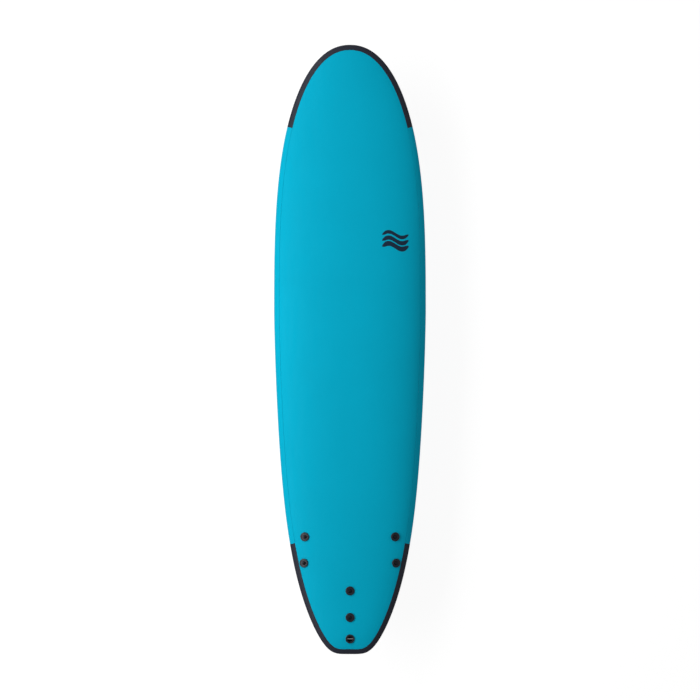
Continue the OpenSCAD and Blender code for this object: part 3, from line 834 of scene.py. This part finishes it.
def label():
    """A generic care panel on the bottom: a thin frame and a few thin lines, with no lettering."""
    x0, x1, half_w, line = -595 * MM, -456 * MM, 18 * MM, 1.3 * MM
    frame_bars = [(x0, x1, -half_w, -half_w + line), (x0, x1, half_w - line, half_w),
                  (x0, x0 + line, -half_w, half_w), (x1 - line, x1, -half_w, half_w)]
    lines = [(x1 - (8 + 7 * i) * MM, x1 - (6.8 + 7 * i) * MM, -12 * MM, (12 - 5 * (i % 2)) * MM)
             for i in range(5)]
    made = [bar(*b, bottom_at, -1) for b in frame_bars + lines]
    return join("bottom_panel_lines", made)


def panel_block():
    """Bold bars in the middle of the care panel."""
    mid = -541 * MM
    made = [bar(mid + (10 * i - 15) * MM, mid + (10 * i - 8) * MM, -8 * MM, 8 * MM, bottom_at, -1)
            for i in range(3)]
    return join("bottom_panel_block", made)


# ---- The pieces ------------------------------------------------------------------------------

def make_board():
    deck_foam, rail_foam = foam("deck_foam", TEAL), foam("rail_foam", TEAL)
    bumper, slick = rubber("bumper_rubber", CHARCOAL), slick_plastic("bottom_slick", SLICK)

    deck = loft("deck_sheet", sheet_rings(deck_height, SKIN_T, lambda x: BAND_W + GLUE), caps=False)
    cup_hole = cylinder(leash.x, 0, leash_z - 50 * MM, leash_z + 50 * MM, CUP_R + CUP_WALL + TUBE_PLAY)
    combine(deck, tube_holes(0, 0.5) + [cup_hole], "DIFFERENCE")
    settle(deck, "board", "deck_foam", deck_foam, "deck_skin")

    bottom = loft("bottom_sheet", sheet_rings(bottom_height, SLICK_T, lambda x: edge_w(x) + GLUE), caps=False)
    combine(bottom, tube_holes(0, 0.5) + [grip_hole()], "DIFFERENCE")
    settle(bottom, "board", "slick_plastic", slick, "bottom_slick")

    spans = (("rail_foam_port", NOSE_END, TAIL_END, 150, "rail_foam", rail_foam, "rail_strip_port"),
             ("rail_foam_starboard", FULL_TURN - TAIL_END, FULL_TURN - NOSE_END, 150, "rail_foam", rail_foam,
              "rail_strip_starboard"),
             ("bumper_nose", -NOSE_END, NOSE_END, 220, "bumper_rubber", bumper, "nose_bumper"),
             ("bumper_tail", TAIL_END, FULL_TURN - TAIL_END, 260, "bumper_rubber", bumper, "tail_bumper"))
    for name, first, last, steps, slot, material, node in spans:
        settle(band(name, first, last, steps), "board", slot, material, node)


def make_fittings():
    black = moulded("black_plastic", MOULDED, 0.36, 0.5, 0.05 * MM)
    nylon = moulded("fin_nylon", NYLON, 0.2, 0.32, 0.02 * MM)
    steel = metal("stainless_steel", linear(205, 205, 208), 0.22, 0.36)
    # Painted shade: the screws' steel is coloured dark to stand in for the shade of the recesses they sit in.
    painted_shade_steel = metal("steel_painted_shade", linear(58, 60, 68), 0.3, 0.45)
    settle(grip_cup(), "board", "black_plastic", black, "grip_cup")
    settle(leash_cup(), "board", "black_plastic", black, "leash_cup")
    # The screws are stainless steel, but their colour is painted dark, as painted shade of the recesses in
    # the discs, where only a glint of them shows.
    for name in FINS:
        settle(fin(name), f"{name}_fin", "fin_nylon", nylon, f"fin_{name}")
        for end in ENDS:
            settle(fin_plug(name, end), "board", "black_plastic", black, f"fin_plug_{name}_{end}")
            settle(fin_screw(name, end), f"{name}_{end}_screw", "stainless_steel", painted_shade_steel,
                   f"fin_screw_{name}_{end}")
    finish_node("leash_bar", steel)
    brass = metal("brass", linear(206, 164, 88), 0.3, 0.42)
    for name in FINS:
        for end in ENDS:
            finish_node(f"fin_insert_{name}_{end}", brass)


def finish_node(name, material):
    """A CAD node that stays, with a better material."""
    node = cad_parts[name]
    for place in node.material_slots:
        place.material = material


def make_inside():
    beads, ply = bead_foam("core_foam"), plywood("plywood")
    for name in ("port", "centre", "starboard"):
        finish_node(f"foam_core_{name}", beads)
    for name in ("port", "starboard"):
        finish_node(f"stringer_{name}", ply)


def make_marks():
    dark, teal = ink("ink_dark", INK_DARK, 0.6), ink("ink_teal", INK_TEAL, 0.4)
    pale, grey = ink("ink_pale", INK_PALE, 0.4), ink("ink_grey", INK_GREY, 0.4)
    mark = swell(441 * MM, -182 * MM, 70 * MM, 108 * MM, 3, deck_z, 1, "deck_mark")
    settle(mark, "board", "deck_foam", dark)
    mark = swell(476 * MM, 0, 66 * MM, 106 * MM, 3, bottom_at, -1, "bottom_mark")
    settle(mark, "board", "slick_plastic", teal)
    settle(label(), "board", "slick_plastic", pale)
    settle(panel_block(), "board", "slick_plastic", teal)
    line = join("bottom_line", [bar(-800 * MM, -735 * MM, -1.2 * MM, 1.2 * MM, bottom_at, -1)])
    settle(line, "board", "slick_plastic", grey)


# ---- Floor, light and camera ---------------------------------------------------------------------

FLOOR_Z = -62 * MM


def make_stage():
    """A pale floor that sweeps up far away, low enough for pulled fins. It neither lights nor shades."""
    sweep = [(0, 0), (24, 0), (28, 0.6), (31, 2.4), (33, 5.5), (34, 10), (34, 60)]
    floor = lathe("floor", [(r, FLOOR_Z + z) for r, z in sweep])
    made = Surface("floor", Roughness=0.9, Specular_IOR_Level=0.0)
    made.shader.inputs["Base Color"].default_value = (0.2, 0.2, 0.2, 1)
    made.shader.inputs["Emission Color"].default_value = (1, 1, 1, 1)
    made.shader.inputs["Emission Strength"].default_value = 0.9
    floor.data.materials.append(made.material)
    floor.visible_diffuse = floor.visible_glossy = floor.visible_shadow = False


def area_light(name, place, target, size, power):
    data = bpy.data.lights.new(name, "AREA")
    data.shape, data.size, data.size_y, data.energy = "RECTANGLE", size[0], size[1], power
    lamp = bpy.data.objects.new(name, data)
    bpy.context.scene.collection.objects.link(lamp)
    lamp.location = place
    lamp.rotation_euler = (Vector(target) - Vector(place)).to_track_quat("-Z", "Y").to_euler()


def make_light():
    world = bpy.data.worlds.new("studio")
    world.use_nodes = True
    world.node_tree.nodes["Background"].inputs["Color"].default_value = (1, 1, 1, 1)
    world.node_tree.nodes["Background"].inputs["Strength"].default_value = 0.28
    bpy.context.scene.world = world
    area_light("key", (0.2, 1.5, 1.6), (0, 0, 0.15), (4.5, 1.0), 58)
    area_light("fill", (0.2, -3.2, 0.9), (0, 0, 0.15), (4.0, 1.2), 11)


BOARD_SHARE = 61 / 70
CAMERA_AWAY, SENSOR = 6.0, 36


def make_camera():
    """Straight above the deck, nose up in the picture, which the board's length fills to BOARD_SHARE."""
    view = bpy.data.cameras.new("camera")
    view.sensor_width = SENSOR
    view.lens = SENSOR * CAMERA_AWAY * BOARD_SHARE / (2 * HALF_L)
    view.dof.use_dof = False
    camera = bpy.data.objects.new("camera", view)
    bpy.context.scene.collection.objects.link(camera)
    camera.location = (0, 0, BELLY_Z + BOARD_T + CAMERA_AWAY)
    camera.rotation_euler = (0, 0, -math.pi / 2)
    bpy.context.scene.camera = camera
    bpy.context.scene.view_settings.view_transform = "Standard"


make_board()
make_fittings()
make_inside()
make_marks()
make_stage()
make_light()
make_camera()
